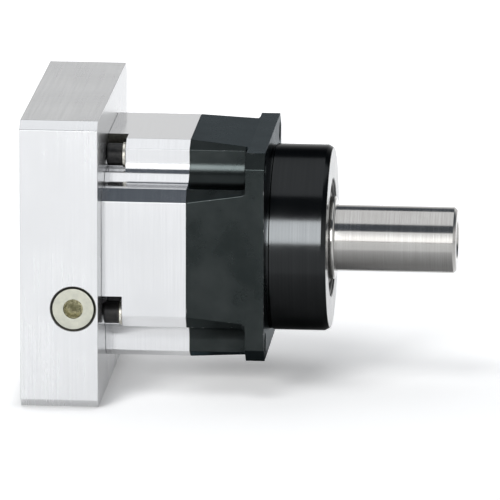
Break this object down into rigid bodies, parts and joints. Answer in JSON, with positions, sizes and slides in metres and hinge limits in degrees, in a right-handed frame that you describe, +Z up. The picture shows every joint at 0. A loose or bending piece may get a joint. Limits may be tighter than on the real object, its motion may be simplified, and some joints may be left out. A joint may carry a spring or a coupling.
{
  "type": "planetary gearbox",
  "caption": "Inline planetary gearbox with a square motor adapter plate, silver gear housing, black output housing with flange and pilot, and a plain output shaft.",
  "frame": {"origin": "centre of the output flange's front face, on the shaft axis", "axes": "+X along the output shaft towards its free end, +Z up as the gearbox is pictured, -Y towards the side with the access plug"},
  "size_m": [0.2046, 0.14, 0.14],
  "materials": {
    "plate_aluminium": "milled and brushed bare aluminium, fine streaks along Z",
    "body_aluminium": "extruded and brushed bare aluminium, mirror-like in the corner notches",
    "black_anodised": "black anodised, satin on the flats and semi-gloss on the turned pilot",
    "ground_steel": "ground steel, fine marks round the axis",
    "gear_steel": "nitrided gear steel",
    "bearing_steel": "polished bearing steel",
    "black_steel": "oiled black oxide",
    "bright_zinc": "bright zinc plating",
    "yellow_zinc": "pale yellow passivated zinc",
    "bronze": "rolled bronze",
    "rubber": "matt black nitrile rubber"
  },
  "bodies": {
    "housing": {"adapter_plate": "plate_aluminium", "gear_housing": "body_aluminium", "output_housing": "black_anodised", "ring_gear": "gear_steel", "output_seal": "rubber", "housing_o_ring": "rubber", "bearing_outer_spacer": "gear_steel", "retaining_ring": "black_steel", "body_bolt_1": "black_steel", "body_washer_1": "bright_zinc", "body_bolt_2": "black_steel", "body_washer_2": "bright_zinc", "body_bolt_3": "black_steel", "body_washer_3": "bright_zinc", "body_bolt_4": "black_steel", "body_washer_4": "bright_zinc", "plate_screw_1": "black_steel", "plate_screw_2": "black_steel", "plate_screw_3": "black_steel", "plate_screw_4": "black_steel", "dowel_top": "ground_steel", "dowel_bottom": "ground_steel", "front_bearing_outer_race": "bearing_steel", "rear_bearing_outer_race": "bearing_steel", "input_bearing_outer_race": "bearing_steel"},
    "output": {"output_shaft": "ground_steel", "carrier_plate": "gear_steel", "bearing_nut": "black_steel", "bearing_inner_spacer": "gear_steel", "front_bearing_inner_race": "bearing_steel", "rear_bearing_inner_race": "bearing_steel", "planet_pin_1": "ground_steel", "front_thrust_washer_1": "bronze", "rear_thrust_washer_1": "bronze", "carrier_screw_1": "black_steel", "planet_pin_2": "ground_steel", "front_thrust_washer_2": "bronze", "rear_thrust_washer_2": "bronze", "carrier_screw_2": "black_steel", "planet_pin_3": "ground_steel", "front_thrust_washer_3": "bronze", "rear_thrust_washer_3": "bronze", "carrier_screw_3": "black_steel"},
    "input": {"input_hub": "ground_steel", "sun_gear": "gear_steel", "clamp_ring": "gear_steel", "clamp_screw": "black_steel", "input_bearing_inner_race": "bearing_steel"},
    "planet_1": {"planet_gear_1": "gear_steel"},
    "needles_1": {"planet_needles_1": "bearing_steel"},
    "planet_2": {"planet_gear_2": "gear_steel"},
    "needles_2": {"planet_needles_2": "bearing_steel"},
    "planet_3": {"planet_gear_3": "gear_steel"},
    "needles_3": {"planet_needles_3": "bearing_steel"},
    "front_balls": {"front_bearing_balls": "bearing_steel"},
    "rear_balls": {"rear_bearing_balls": "bearing_steel"},
    "input_balls": {"input_bearing_balls": "bearing_steel"},
    "plug": {"access_plug": "yellow_zinc"}
  },
  "joints": [
    {"name": "output_spin", "type": "hinge", "parent": "housing", "child": "output", "pos_m": [0, 0, 0], "axis": [1, 0, 0], "continuous": true},
    {"name": "input_spin", "type": "hinge", "parent": "housing", "child": "input", "pos_m": [-0.0896, 0, 0], "axis": [1, 0, 0], "continuous": true},
    {"name": "planet_spin_1", "type": "hinge", "parent": "output", "child": "planet_1", "pos_m": [-0.0545, 0, 0.024], "axis": [1, 0, 0], "continuous": true},
    {"name": "needle_roll_1", "type": "hinge", "parent": "output", "child": "needles_1", "pos_m": [-0.0545, 0, 0.024], "axis": [1, 0, 0], "continuous": true},
    {"name": "planet_spin_2", "type": "hinge", "parent": "output", "child": "planet_2", "pos_m": [-0.0545, -0.02078, -0.012], "axis": [1, 0, 0], "continuous": true},
    {"name": "needle_roll_2", "type": "hinge", "parent": "output", "child": "needles_2", "pos_m": [-0.0545, -0.02078, -0.012], "axis": [1, 0, 0], "continuous": true},
    {"name": "planet_spin_3", "type": "hinge", "parent": "output", "child": "planet_3", "pos_m": [-0.0545, 0.02078, -0.012], "axis": [1, 0, 0], "continuous": true},
    {"name": "needle_roll_3", "type": "hinge", "parent": "output", "child": "needles_3", "pos_m": [-0.0545, 0.02078, -0.012], "axis": [1, 0, 0], "continuous": true},
    {"name": "front_ball_roll", "type": "hinge", "parent": "housing", "child": "front_balls", "pos_m": [0.0075, 0, 0], "axis": [1, 0, 0], "continuous": true},
    {"name": "rear_ball_roll", "type": "hinge", "parent": "housing", "child": "rear_balls", "pos_m": [-0.0263, 0, 0], "axis": [1, 0, 0], "continuous": true},
    {"name": "input_ball_roll", "type": "hinge", "parent": "housing", "child": "input_balls", "pos_m": [-0.0763, 0, 0], "axis": [1, 0, 0], "continuous": true},
    {"name": "access_plug_out", "type": "slide", "parent": "housing", "child": "plug", "axis": [0, -1, 0], "range_m": [0, 0.014]}
  ],
  "couplings": [
    {"joint": "input_spin", "follows": "output_spin", "ratio": 5},
    {"joint": "planet_spin_1", "follows": "output_spin", "ratio": -2.6667},
    {"joint": "needle_roll_1", "follows": "output_spin", "ratio": -1.641},
    {"joint": "planet_spin_2", "follows": "output_spin", "ratio": -2.6667},
    {"joint": "needle_roll_2", "follows": "output_spin", "ratio": -1.641},
    {"joint": "planet_spin_3", "follows": "output_spin", "ratio": -2.6667},
    {"joint": "needle_roll_3", "follows": "output_spin", "ratio": -1.641},
    {"joint": "front_ball_roll", "follows": "output_spin", "ratio": 0.42},
    {"joint": "rear_ball_roll", "follows": "output_spin", "ratio": 0.429},
    {"joint": "input_ball_roll", "follows": "output_spin", "ratio": 2.308}
  ]
}
